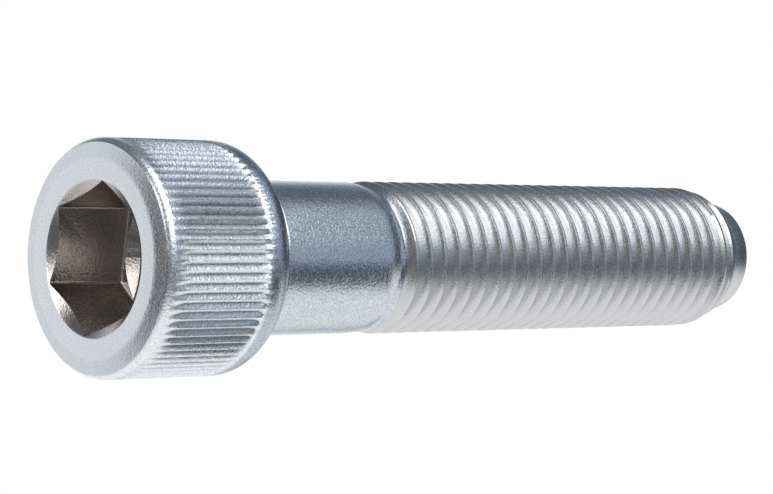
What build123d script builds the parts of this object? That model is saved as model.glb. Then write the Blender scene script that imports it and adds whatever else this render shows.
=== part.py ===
import os
from math import cos, pi, radians, tan

from build123d import *

# Hexagon socket head cap screw, M12 x 1.5 fine, 55 mm long under the head.
# It is cold headed, knurled, machined and thread rolled from one piece of steel, so it
# is one solid.  Millimetres.  The screw stands on its head, as it does on a bench: the
# origin is the centre of the head's end face, and +Z runs along the axis to the point.

# Driving sizes
thread_d = 12.0  # nominal thread diameter
length = 55.0  # from under the head to the point
grip = 14.0  # plain shank, from under the head to the first thread
head_d = 17.6  # over the crests of the knurl
head_height = 12.0  # from the end face to the bearing face
key_size = 10.0  # across the flats of the socket
socket_depth = 6.6  # from the end face to the end of the flats

# Head details
rim_width = 0.95  # turned rim round the flat of the end face, measured across the face
corner_width = 0.3  # rounded front corner, measured across the face
rim_rise = 0.22  # height of the turned rim
corner_rise = 0.9  # where the rounded front corner meets the knurled side
shoulder_height = 1.7  # round shoulder up to the bearing face
shoulder_width = 1.15  # how far the shoulder comes in to the bearing face
knurl_teeth = 75
knurl_depth = 0.24
knurl_start = 0.55  # from the end face to where the knurl begins
knurl_margin = 0.7  # plain band between the knurl and the shoulder
knurl_opening = 100.0  # included angle of a knurl groove, in degrees
socket_mouth_margin = 0.05  # how far the countersink reaches past the socket corners
socket_mouth_angle = 120.0  # included angle of that countersink
drill_point_angle = 120.0  # included angle of the drilled bottom of the socket

# Shank and thread details
shank_gap = 0.1  # how far the plain shank stays under the nominal diameter
crest_gap = 0.02  # how far the crests stay under the nominal diameter
underhead_fillet = 0.6
neck_drop = 0.18  # how far the shank dips before the thread rises out of it
neck_length = 1.6
point_drop = 1.0  # how far the pilot point stays under the nominal diameter
point_chamfer_length = 1.9
pilot_length = 2.2  # smooth pilot past the last thread
pilot_taper = 0.4  # how much narrower the pilot ends than it starts
pilot_edge_radius = 0.3

# Sizes that follow
overall = head_height + length
head_r = head_d / 2
shank_r = thread_d / 2 - shank_gap
thread_r = thread_d / 2 - crest_gap
point_r = thread_d / 2 - point_drop
pilot_end_r = point_r - pilot_taper
bearing_r = head_r - shoulder_width
rim_r = head_r - corner_width
end_flat_r = rim_r - rim_width
thread_start = head_height + grip
pilot_start = overall - pilot_length
socket_corner_r = key_size / 2 / cos(pi / 6)
drill_depth = key_size / 2 / tan(radians(drill_point_angle / 2))
socket_mouth_r = socket_corner_r + socket_mouth_margin
mouth_depth = socket_mouth_r / tan(radians(socket_mouth_angle / 2))
knurl_half_width = knurl_depth * tan(radians(knurl_opening / 2))
shoulder_start = head_height - shoulder_height
knurl_end = shoulder_start - knurl_margin

os.makedirs("parts", exist_ok=True)

# The whole screw.  The blank is turned about its axis; the thread is a plain cylinder
# over its crests here.
with BuildPart() as cap_screw:
    with BuildSketch(Plane.XZ) as blank_section:
        with BuildLine() as blank_outline:
            Line((0, 0), (end_flat_r, 0))
            Line((end_flat_r, 0), (rim_r, rim_rise))
            TangentArc((head_r, corner_rise), (rim_r, rim_rise), tangent=(0, -1))
            Line((head_r, corner_rise), (head_r, shoulder_start))
            TangentArc((head_r, shoulder_start), (bearing_r, head_height), tangent=(0, 1))
            Line((bearing_r, head_height), (shank_r + underhead_fillet, head_height))
            RadiusArc(
                (shank_r + underhead_fillet, head_height),
                (shank_r, head_height + underhead_fillet),
                underhead_fillet,
            )
            Line(
                (shank_r, head_height + underhead_fillet),
                (shank_r, thread_start - neck_length),
            )
            Line(
                (shank_r, thread_start - neck_length),
                (shank_r - neck_drop, thread_start - neck_length / 2),
            )
            Line(
                (shank_r - neck_drop, thread_start - neck_length / 2),
                (thread_r, thread_start),
            )
            Line((thread_r, thread_start), (thread_r, pilot_start - point_chamfer_length))
            Line(
                (thread_r, pilot_start - point_chamfer_length),
                (point_r, pilot_start),
            )
            Line((point_r, pilot_start), (pilot_end_r, overall - pilot_edge_radius))
            Line(
                (pilot_end_r, overall - pilot_edge_radius),
                (pilot_end_r - pilot_edge_radius, overall),
            )
            Line((pilot_end_r - pilot_edge_radius, overall), (0, overall))
            Line((0, overall), (0, 0))
        make_face()
    revolve(axis=Axis.Z)

    # Straight knurl: V grooves pressed into the side of the head, from the rounded front
    # corner, where they run out, to the shoulder.
    with BuildSketch(Plane.XY.offset(knurl_start)):
        with PolarLocations(head_r - knurl_depth, knurl_teeth):
            Polygon(
                (0, 0),
                (2 * knurl_depth, -2 * knurl_half_width),
                (2 * knurl_depth, 2 * knurl_half_width),
                align=None,
            )
    extrude(amount=knurl_end - knurl_start, mode=Mode.SUBTRACT)

    # Socket: pressed hexagon with a drilled bottom and a countersunk mouth.  Two of its
    # corners lie on the X axis.
    with BuildSketch():
        RegularPolygon(socket_corner_r, 6)
    extrude(amount=socket_depth, mode=Mode.SUBTRACT)
    with BuildSketch(Plane.XZ):
        with BuildLine():
            Polyline(
                (0, socket_depth),
                (key_size / 2, socket_depth),
                (0, socket_depth + drill_depth),
                close=True,
            )
        make_face()
        with BuildLine():
            Polyline((0, 0), (socket_mouth_r, 0), (0, mouth_depth), close=True)
        make_face()
    revolve(axis=Axis.Z, mode=Mode.SUBTRACT)

cap_screw.part.label = "cap_screw"
export_step(cap_screw.part, "parts/cap_screw.step")
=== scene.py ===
from math import atan2, cos, hypot, pi, radians, sin, sqrt, tan

import bpy
from mathutils import Matrix, Vector


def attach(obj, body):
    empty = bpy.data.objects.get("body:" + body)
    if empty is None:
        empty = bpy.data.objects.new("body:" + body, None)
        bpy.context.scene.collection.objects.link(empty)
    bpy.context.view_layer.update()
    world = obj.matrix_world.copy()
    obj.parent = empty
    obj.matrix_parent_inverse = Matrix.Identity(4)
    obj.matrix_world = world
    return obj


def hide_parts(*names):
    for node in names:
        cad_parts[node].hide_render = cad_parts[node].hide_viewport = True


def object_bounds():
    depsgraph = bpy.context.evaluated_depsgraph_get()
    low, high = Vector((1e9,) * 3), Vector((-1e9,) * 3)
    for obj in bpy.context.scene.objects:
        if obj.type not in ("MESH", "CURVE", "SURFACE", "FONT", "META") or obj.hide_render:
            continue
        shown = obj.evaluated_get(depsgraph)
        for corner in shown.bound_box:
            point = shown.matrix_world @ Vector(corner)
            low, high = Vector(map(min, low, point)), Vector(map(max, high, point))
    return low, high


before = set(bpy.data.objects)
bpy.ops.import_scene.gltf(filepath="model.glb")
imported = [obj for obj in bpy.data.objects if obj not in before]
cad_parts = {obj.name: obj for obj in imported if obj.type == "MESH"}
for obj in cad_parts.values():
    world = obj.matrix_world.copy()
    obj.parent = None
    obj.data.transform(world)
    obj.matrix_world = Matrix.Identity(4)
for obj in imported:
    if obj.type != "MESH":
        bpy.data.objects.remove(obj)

cad_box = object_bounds()


# Camera: a long lens beside and below the head, so that the end face with its socket
# shows and the screw's axis lies across the picture.
MM = 0.001
view_angle = radians(42.2)
socket_turn = radians(11.2)
axis = Vector((0, 0, 1))
toward_camera = Vector((-sin(socket_turn), -cos(socket_turn), 0))
picture_down = axis.cross(toward_camera)
picture_right = cos(view_angle) * axis + sin(view_angle) * toward_camera
forward = sin(view_angle) * axis - cos(view_angle) * toward_camera
bpy.ops.object.camera_add()
camera = bpy.context.object
camera.data.sensor_width = 36
camera.data.lens = 130
to_the_right = 21.2 * MM
raised = 0.83 * MM
distance = 201.5 * MM
camera.matrix_world = Matrix.Translation(
    to_the_right * picture_right - raised * picture_down - distance * forward
) @ Matrix((picture_right, -picture_down, -forward)).transposed().to_4x4()
bpy.context.scene.camera = camera


# Threaded stretch: an M12 x 1.5 right-hand thread, rolled into the blank.  One pitch of
# its profile is swept up a helix; its crests fade out at the neck and round off at the
# point, where the roll leaves the blank.
def smooth(low, high, value):
    """Rises gently from 0 at low to 1 at high."""
    share = min(max((value - low) / (high - low), 0), 1)
    return share * share * (3 - 2 * share)


def trace(name, points):
    """A chain of edges through (radius, height) points, in millimetres, in the XZ plane."""
    bpy.ops.mesh.primitive_plane_add(size=MM)
    chain = bpy.context.object
    chain.name = name
    bpy.ops.object.mode_set(mode="EDIT")
    bpy.ops.mesh.select_mode(type="VERT")
    bpy.ops.mesh.select_all(action="SELECT")
    bpy.ops.mesh.merge(type="CENTER")
    bpy.ops.transform.translate(value=(points[0][0] * MM, 0, points[0][1] * MM))
    for (r0, z0), (r1, z1) in zip(points, points[1:]):
        step = ((r1 - r0) * MM, 0, (z1 - z0) * MM)
        bpy.ops.mesh.extrude_region_move(TRANSFORM_OT_translate={"value": step})
    bpy.ops.object.mode_set(mode="OBJECT")
    return chain


def weld(threshold):
    """Merges the vertices of the active object that lie nearer than threshold millimetres."""
    bpy.ops.object.mode_set(mode="EDIT")
    bpy.ops.mesh.select_all(action="SELECT")
    bpy.ops.mesh.remove_doubles(threshold=threshold * MM)
    bpy.ops.object.mode_set(mode="OBJECT")


def sweep(chain, steps, rise=0.0, turns=1):
    """Turns a chain about the screw's axis, rising by rise millimetres each turn."""
    turning = chain.modifiers.new("turning", "SCREW")
    turning.steps = turning.render_steps = steps
    turning.screw_offset = rise * MM
    turning.iterations = turns
    bpy.ops.object.modifier_apply(modifier=turning.name)
    weld(swept_gap)


bpy.ops.object.select_all(action="DESELECT")
swept_gap = 0.0005
teeth = 75
columns = 2 * teeth  # faces round the shank, thread and point
overall = cad_box[1].z / MM
head_r = cad_box[1].x / MM - 0.002  # a hair inside the box of the solid
pitch = 1.5
crest_r = 5.98
root_r = 5.05
neck_r = 5.7
neck_z = 25.1  # where the thread rises out of the shank
neck_rise = 0.9  # the crests are up to size this far past the neck
full_z = 26.5  # where the groove is at its full depth
pilot_z = overall - 2.2
pilot_r = 5.0
runout = 2.8  # length over which the crests round off before the pilot
helix_start = neck_z - 2.68  # below the neck all the way round
half_profile = [(crest_r, 0), (crest_r - 0.005, 0.1), (crest_r - 0.05, 0.17),
                (crest_r - 0.44, 0.395), (root_r + 0.07, 0.62), (root_r, 0.75)]
profile = half_profile + [(r, pitch - z) for r, z in half_profile[-2::-1]]
turns = int((pilot_z - neck_z) / pitch) + 3
thread = trace("thread", [(r, z + helix_start) for r, z in profile])
sweep(thread, columns, rise=pitch, turns=turns)
round_r = (runout**2 + (crest_r - pilot_r) ** 2) / (2 * (crest_r - pilot_r))


def crest_envelope(z):
    """Radius of the crests at height z, from the neck to the pilot."""
    if z > pilot_z - runout:
        past = z - (pilot_z - runout)
        return crest_r - round_r + sqrt(round_r**2 - past**2)
    return neck_r + (crest_r - neck_r) * smooth(neck_z, neck_z + neck_rise, z)


for vertex in thread.data.vertices:
    x, y, z = (value / MM for value in vertex.co)
    z = min(max(z, neck_z), pilot_z)
    depth = (crest_r - hypot(x, y)) * smooth(neck_z, full_z, z)
    if z > pilot_z - runout:
        r = min(crest_r - depth, crest_envelope(z))
    else:
        r = crest_envelope(z) - depth
    if z in (neck_z, pilot_z):
        r = crest_envelope(z)
    turn = atan2(y, x)
    vertex.co = (r * cos(turn) * MM, r * sin(turn) * MM, z * MM)


# Plain shank with its fillet under the head and the slight neck before the thread, and
# the smooth pilot point: both are the turned blank, untouched by the thread rolls.
def arc(start, centre, end, steps):
    """Points from start to end round centre, without the first."""
    a0 = atan2(start[1] - centre[1], start[0] - centre[0])
    a1 = atan2(end[1] - centre[1], end[0] - centre[0])
    r = hypot(start[0] - centre[0], start[1] - centre[1])
    return [(centre[0] + r * cos(a0 + (a1 - a0) * i / steps),
             centre[1] + r * sin(a0 + (a1 - a0) * i / steps)) for i in range(1, steps + 1)]


head_height = 12.0
shank_r = 5.9
fillet = 0.6
flange = 0.4  # ring of the bearing face that is turned with the shank
shank = trace("shank", [
    (shank_r + fillet + flange, head_height),
    (shank_r + fillet, head_height),
    *arc((shank_r + fillet, head_height), (shank_r + fillet, head_height + fillet),
         (shank_r, head_height + fillet), 5),
    (shank_r, 16), (shank_r, 20), (shank_r, 23.6), (shank_r - 0.015, 24.0),
    (shank_r - 0.06, 24.4), (neck_r + 0.03, 24.8), (neck_r, neck_z),
])
sweep(shank, columns)
pilot_end_r = 4.6
edge_r = 0.35
end_hole_r = 1.0  # closed by one round face
point = trace("point", [
    (pilot_r, pilot_z), (pilot_r - 0.02, pilot_z + 0.15), (pilot_r - 0.08, pilot_z + 0.6),
    (pilot_end_r + 0.12, overall - 0.75), (pilot_end_r, overall - edge_r),
    *arc((pilot_end_r, overall - edge_r), (pilot_end_r - edge_r, overall - edge_r),
         (pilot_end_r - edge_r, overall), 4),
    (3.0, overall), (end_hole_r, overall),
])
sweep(point, columns)
bpy.ops.object.mode_set(mode="EDIT")
bpy.ops.mesh.select_all(action="DESELECT")
bpy.ops.mesh.select_mode(type="EDGE")
bpy.ops.object.mode_set(mode="OBJECT")
for edge in point.data.edges:
    ends = [point.data.vertices[i].co / MM for i in edge.vertices]
    edge.select = all(hypot(end.x, end.y) < 1.01 * end_hole_r for end in ends)
bpy.ops.object.mode_set(mode="EDIT")
bpy.ops.mesh.edge_face_add()
bpy.ops.object.mode_set(mode="OBJECT")


# Head: one tooth of the knurl is turned from the head's outline, its groove is pressed
# in between crests, and 75 copies stand round the axis.  The grooves fade in behind the
# rounded front corner and stop short of the shoulder.
rim_r, rim_z = 8.5, 0.22
corner_z = 0.9
knurl_start = 0.5
knurl_full = 2.4  # where the grooves reach their full depth
knurl_fade = 8.6  # where they start to run out
knurl_end = 9.6
knurl_depth = 0.24
groove_share = 0.44  # half width of a groove, as a share of a tooth
bearing_r = 7.65
tooth = 2 * pi / teeth
corner_r = ((head_r - rim_r) ** 2 + (corner_z - rim_z) ** 2) / (2 * (head_r - rim_r))
shoulder_z = 10.3
shoulder = head_height - shoulder_z
shoulder_r = ((head_r - bearing_r) ** 2 + shoulder**2) / (2 * (head_r - bearing_r))
outline = [
    (7.1, 0), (7.25, 0.01), (7.5, 0.045), (8.0, 0.135), (rim_r - 0.05, rim_z - 0.012),
    *arc((rim_r, rim_z), (head_r - corner_r, corner_z), (head_r, corner_z), 5),
    (head_r, 1.2), (head_r, 1.6), (head_r, 2.2), (head_r, 4), (head_r, 6), (head_r, 8),
    (head_r, knurl_fade), (head_r, 8.95), (head_r, 9.2), (head_r, 9.35), (head_r, 9.5),
    (head_r, knurl_end), (head_r, shoulder_z),
    *arc((head_r, shoulder_z), (head_r - shoulder_r, shoulder_z), (bearing_r, head_height), 9)[:-1],
    (bearing_r + 0.03, head_height - 0.06), (bearing_r - 0.05, head_height),
    (shank_r + fillet + flange + 0.1, head_height),
]
head = trace("head", outline)
bpy.ops.object.mode_set(mode="EDIT")
bpy.ops.mesh.select_all(action="SELECT")
bpy.ops.mesh.spin(steps=6, angle=tooth, center=(0, 0, 0), axis=(0, 0, 1))
bpy.ops.object.mode_set(mode="OBJECT")
for vertex in head.data.vertices:
    x, y, z = (value / MM for value in vertex.co)
    turn = abs(atan2(y, x))
    away = abs(turn / tooth - 0.5)
    past = max(z - knurl_fade, 0) / (knurl_end - knurl_fade)
    fade = sqrt(max(0, 1 - past**2)) * smooth(knurl_start, knurl_full, z)
    depth = knurl_depth * max(0, 1 - away / groove_share) * fade
    r = hypot(x, y)
    if knurl_start < z < knurl_end and r > head_r - depth:
        vertex.co *= Vector((1, 1, 0)) * (head_r - depth) / r + Vector((0, 0, 1))
bpy.ops.object.mode_set(mode="EDIT")
bpy.ops.mesh.select_all(action="SELECT")
bpy.ops.mesh.spin(steps=teeth, angle=2 * pi, center=(0, 0, 0), axis=(0, 0, 1), dupli=True)
bpy.ops.object.mode_set(mode="OBJECT")
weld(swept_gap)


def select_ring(piece, z, low, high):
    """Selects the open edges at a height whose ends lie between two radii."""
    bpy.ops.object.mode_set(mode="EDIT")
    bpy.ops.mesh.select_mode(type="EDGE")
    bpy.ops.mesh.select_all(action="DESELECT")
    bpy.ops.mesh.select_non_manifold(extend=False, use_multi_face=False,
                                     use_non_contiguous=False, use_verts=False)
    bpy.ops.object.mode_set(mode="OBJECT")
    for edge in piece.data.edges:
        ends = [piece.data.vertices[i].co / MM for i in edge.vertices]
        near = all(abs(e.z - z) < 0.01 and low < hypot(e.x, e.y) < high for e in ends)
        edge.select = edge.select and near
    bpy.ops.object.mode_set(mode="EDIT")


bpy.ops.object.select_all(action="DESELECT")
for part in (thread, shank, point, head):
    part.select_set(True)
bpy.context.view_layer.objects.active = head
bpy.ops.object.join()
screw = head
screw.name = "socket_head_screw"
joined_gap = 0.0008
weld(joined_gap)
select_ring(screw, head_height, 6, 8)
bpy.ops.mesh.fill(use_beauty=False)
bpy.ops.object.mode_set(mode="OBJECT")
select_ring(screw, 0, 7, 7.2)
bpy.ops.mesh.edge_face_add()
bpy.ops.mesh.select_all(action="SELECT")
bpy.ops.mesh.normals_make_consistent(inside=False)
bpy.ops.object.mode_set(mode="OBJECT")


# Socket: a hexagon pressed into the head, with a drilled bottom and a countersunk
# mouth.  Each tool that cut it is a closed solid here, taken out of the head in turn.
key_size = 10.0
socket_depth = 6.6
corner = key_size / 2 / cos(pi / 6)
corner_bevel = 0.16
mouth_r = corner + 0.05
half_cone = radians(60)  # half the angle of the drilled bottom and of the countersink
above = 2.0  # how far the hexagon's tool stands out of the head
mouth_above = 0.4  # the same for the countersink's tool


def cut(tool):
    """Takes a tool's shape out of the screw."""
    bpy.ops.object.select_all(action="DESELECT")
    bpy.context.view_layer.objects.active = screw
    cutting = screw.modifiers.new("cutting", "BOOLEAN")
    cutting.operation = "DIFFERENCE"
    cutting.solver = "EXACT"
    cutting.object = tool
    bpy.ops.object.modifier_apply(modifier=cutting.name)
    bpy.data.objects.remove(tool)


bpy.ops.mesh.primitive_cylinder_add(
    vertices=6, radius=corner * MM, depth=(socket_depth + above) * MM,
    location=(0, 0, (socket_depth - above) / 2 * MM), rotation=(0, 0, pi / 6))
punch = bpy.context.object
bpy.ops.object.transform_apply(rotation=True, location=True)
bevel = punch.modifiers.new("corners", "BEVEL")
bevel.width = corner_bevel * MM
bevel.segments = 3
bevel.limit_method = "ANGLE"
bpy.ops.object.modifier_apply(modifier=bevel.name)
cut(punch)
drill_depth = key_size / 2 / tan(half_cone)
drill_inset = 0.05  # keeps the drill's cone clear of the flats
drill_overlap = 0.02  # sinks its base into the socket
bpy.ops.mesh.primitive_cone_add(
    vertices=96, radius1=(key_size / 2 - drill_inset) * MM, radius2=0, depth=drill_depth * MM,
    location=(0, 0, (socket_depth - drill_overlap + drill_depth / 2) * MM))
drill = bpy.context.object
bpy.ops.object.transform_apply(location=True)
cut(drill)
mouth_depth = mouth_r / tan(half_cone)
bpy.ops.mesh.primitive_cone_add(
    vertices=128, radius1=mouth_r * (1 + mouth_above / mouth_depth) * MM, radius2=0,
    depth=(mouth_depth + mouth_above) * MM,
    location=(0, 0, (mouth_depth - mouth_above) / 2 * MM))
countersink = bpy.context.object
bpy.ops.object.transform_apply(location=True)
cut(countersink)
bpy.ops.object.select_all(action="DESELECT")
screw.select_set(True)
bpy.context.view_layer.objects.active = screw
cut_gap = 0.001
weld(cut_gap)
bpy.ops.object.mode_set(mode="EDIT")
bpy.ops.mesh.select_all(action="SELECT")
bpy.ops.mesh.dissolve_degenerate(threshold=cut_gap * MM)
bpy.ops.mesh.normals_make_consistent(inside=False)
bpy.ops.object.mode_set(mode="OBJECT")
sharpest_smooth = radians(28)
bpy.ops.object.shade_smooth_by_angle(angle=sharpest_smooth)


# Finish: bright zinc plating with a thin clear-blue passivation over the blasted blank;
# the rolled thread is smoother and greyer, with fine rings round the axis.  On the head,
# painted dark reflection on the end face's chamfer and the shoulder, painted shade in the
# knurl's grooves and a painted sheen on the knurled side.
class Value:
    """One output socket, on which sums, differences and products add their Math nodes."""

    def __init__(self, tree, socket):
        self.tree = tree
        self.socket = socket

    def node(self, kind, settings=None, inputs=None, output=0):
        made = self.tree.nodes.new(kind)
        for key, value in (settings or {}).items():
            setattr(made, key, value)
        for key, value in (inputs or {}).items():
            if isinstance(value, Value):
                self.tree.links.new(value.socket, made.inputs[key])
            else:
                made.inputs[key].default_value = value
        return Value(self.tree, made.outputs[output]) if made.outputs else None

    def maths(self, operation, *values):
        return self.node("ShaderNodeMath", {"operation": operation}, dict(enumerate(values)))

    def __add__(self, other):
        return self.maths("ADD", self, other)

    def __radd__(self, other):
        return self.maths("ADD", other, self)

    def __sub__(self, other):
        return self.maths("SUBTRACT", self, other)

    def __rsub__(self, other):
        return self.maths("SUBTRACT", other, self)

    def __mul__(self, other):
        return self.maths("MULTIPLY", self, other)

    def __rmul__(self, other):
        return self.maths("MULTIPLY", other, self)

    def step(self, low, high):
        """Rises gently from 0 where this value is low to 1 where it is high."""
        return self.node("ShaderNodeMapRange", {"interpolation_type": "SMOOTHSTEP"},
                         {"Value": self, "From Min": low, "From Max": high})

    def dot(self, direction):
        return self.node("ShaderNodeVectorMath", {"operation": "DOT_PRODUCT"},
                         {0: self, 1: tuple(direction)}, "Value")


def mixed(factor, one, other):
    """Mixes two colours, each a socket or three numbers."""
    one, other = (c if isinstance(c, Value) else (*c, 1) for c in (one, other))
    return factor.node("ShaderNodeMix", {"data_type": "RGBA"}, {0: factor, 6: one, 7: other}, 2)


def start(tree):
    """Empties a node tree and gives the value that makes its first nodes."""
    tree.nodes.clear()
    return Value(tree, None)


plating = bpy.data.materials.new("zinc_plating")
plating.use_nodes = True
maker = start(plating.node_tree)
place = maker.node("ShaderNodeTexCoord", output="Object")
height = place.dot((0, 0, 1 / MM))


def noise(size_mm, detail, stretch=(1, 1, 1)):
    """Noise fixed to the steel, with lumps of about size_mm."""
    scaled = maker.node("ShaderNodeMapping", {}, {"Vector": place, "Scale": tuple(
        s / (size_mm * MM) for s in stretch)})
    return maker.node("ShaderNodeTexNoise", {}, {
        "Vector": scaled, "Scale": 1.0, "Detail": detail, "Roughness": 0.55})


flat = maker.node("ShaderNodeVectorMath", {"operation": "MULTIPLY"},
                  {0: place, 1: (1 / MM, 1 / MM, 0)})
radius = maker.node("ShaderNodeVectorMath", {"operation": "LENGTH"}, {0: flat}, "Value")
on_thread = height.step(25.2, 26.4)
on_face = 1 - height.step(0.1, 0.6)
rim_dark_reflection = on_face * radius.step(7.25, 7.5)
on_side = radius.step(8.45, 8.6) * (1 - height.step(9.6, 9.9))
groove_shade = (1 - radius.step(8.6, 8.74)) * height.step(1.0, 1.8) * on_side
on_shoulder = (1 - height.step(11.95, 12.05)) * height.step(9.6, 9.9) * radius.step(6.5, 7)
in_socket = (1 - radius.step(5.84, 5.9)) * height.step(0.02, 0.1) * (1 - height.step(9.5, 10))
grain = noise(0.2, 1.5)
speck = noise(0.13, 1).step(0.35, 0.65)
patches = noise(1.3, 3)
rings = noise(1.0, 2, (0.25, 0.25, 9.0))
colour = mixed(speck * 0.7 + 0.3 * patches, (0.46, 0.505, 0.56), (0.80, 0.825, 0.86))
colour = mixed(on_thread * 0.8, colour, (0.68, 0.675, 0.68))
colour = mixed(on_face * 0.4, colour, (0.74, 0.765, 0.80))
# painted dark reflection: the chamfer ring round the end face is mixed toward dark blue-grey
colour = mixed(rim_dark_reflection * 0.2, colour, (0.36, 0.41, 0.47))
# painted sheen: the knurled side is mixed toward near white in random specks, so the head shows
# brighter than the shank
colour = mixed(on_side * (0.45 + 0.45 * speck), colour, (0.95, 0.965, 0.98))
# painted shade: the bottoms of the knurl's grooves are darkened
colour = mixed(groove_shade * 0.6, colour, (0.27, 0.30, 0.34))
# painted dark reflection, broken up by random specks: the rounded shoulder above the knurl is
# darkened
colour = mixed(on_shoulder * (0.7 - 0.4 * speck), colour, (0.36, 0.41, 0.47))
colour = mixed(in_socket, colour, (0.52, 0.49, 0.47))
roughness = 0.12 + 0.1 * patches + 0.08 * speck
roughness = roughness + 0.08 * on_thread + 0.1 * on_side + 0.06 * on_shoulder
relief = grain * (1 - 0.6 * on_thread - 0.45 * on_face + 0.5 * on_side) + 0.5 * rings * on_thread
relief = relief + 0.1 * patches
bump_height = 0.024 * MM
bump = maker.node("ShaderNodeBump", {}, {"Height": relief, "Strength": 1.0, "Distance": bump_height})
surface = maker.node("ShaderNodeBsdfPrincipled", {}, {
    "Base Color": colour, "Metallic": 1.0, "Roughness": roughness, "Normal": bump})
maker.node("ShaderNodeOutputMaterial", {}, {"Surface": surface})
screw.data.materials.clear()
screw.data.materials.append(plating)
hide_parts("cap_screw")
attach(screw, "root")


# Studio: a pale floor, seen from above only, and soft light from a white table below the
# picture, a white backdrop and two lamps on the head's side, in a dim room.
floor_gap = 0.05 * MM  # keeps the floor clear of the head's end face
bpy.ops.mesh.primitive_plane_add(size=2.4, location=(0, 0, -floor_gap))
floor = bpy.context.object
floor.name = "floor"
bpy.ops.object.transform_apply(location=True)
pale = bpy.data.materials.new("pale_floor")
pale.use_nodes = True
maker = start(pale.node_tree)
below = maker.node("ShaderNodeNewGeometry", output="Backfacing")
matt = maker.node("ShaderNodeBsdfDiffuse", {}, {"Color": (0.86, 0.86, 0.87, 1)})
clear = maker.node("ShaderNodeBsdfTransparent")
shown = maker.node("ShaderNodeMixShader", {}, {0: below, 1: matt, 2: clear})
maker.node("ShaderNodeOutputMaterial", {}, {"Surface": shown})
floor.data.materials.append(pale)
for ray in ("diffuse", "glossy", "transmission", "shadow"):
    setattr(floor, "visible_" + ray, False)

world = bpy.data.worlds.new("studio")
bpy.context.scene.world = world
world.use_nodes = True
maker = start(world.node_tree)
facing = maker.node("ShaderNodeTexCoord", output="Generated")
up = facing.dot(-picture_down)
near = facing.dot(toward_camera)
left = facing.dot(-axis)
right = facing.dot(axis)
room = (0.37, 0.44, 0.53)
dark = (0.12, 0.14, 0.175)
horizon = (0.07, 0.085, 0.105)
grey = (0.15, 0.155, 0.165)
white = (0.95, 0.95, 0.95)
light = mixed(up.step(0.35, 0.65) * (1 - near.step(-0.2, 0.25)), room, dark)
light = mixed(near.step(0.35, 0.6) * (1 - up.step(-0.2, -0.06)), light, horizon)
light = mixed(left.step(0.3, 0.6), light, grey)
side_lamp = left.step(0.3, 0.6) * up.step(-0.05, 0.22) * (1 - up.step(0.55, 0.8))
side_lamp = side_lamp * near.step(-0.3, -0.15) * (1 - near.step(0.24, 0.4))
light = mixed(side_lamp, light, (2.4, 2.38, 2.34))
top_lamp = (1 - right.step(0.42, 0.56)) * right.step(-0.35, -0.15)
top_lamp = top_lamp * up.step(0.25, 0.4) * near.step(0.05, 0.3)
light = mixed(top_lamp, light, (2.7, 2.7, 2.7))
light = mixed(right.step(0.76, 0.88), light, horizon)
light = mixed(right.step(0.72, 0.82) * (1 - up.step(-0.35, -0.1)), light, white)
light = mixed(1 - up.step(-0.65, -0.45), light, white)
light = mixed((1 - near.step(-0.72, -0.58)) * (1 - up.step(0.3, 0.5)), light, white)
plain = maker.node("ShaderNodeLightPath", output="Is Camera Ray")
light = mixed(plain, light, (1, 1, 1))
glow = maker.node("ShaderNodeBackground", {}, {"Color": light, "Strength": 1.0})
maker.node("ShaderNodeOutputWorld", {}, {"Surface": glow})
bpy.context.scene.view_settings.view_transform = "Standard"
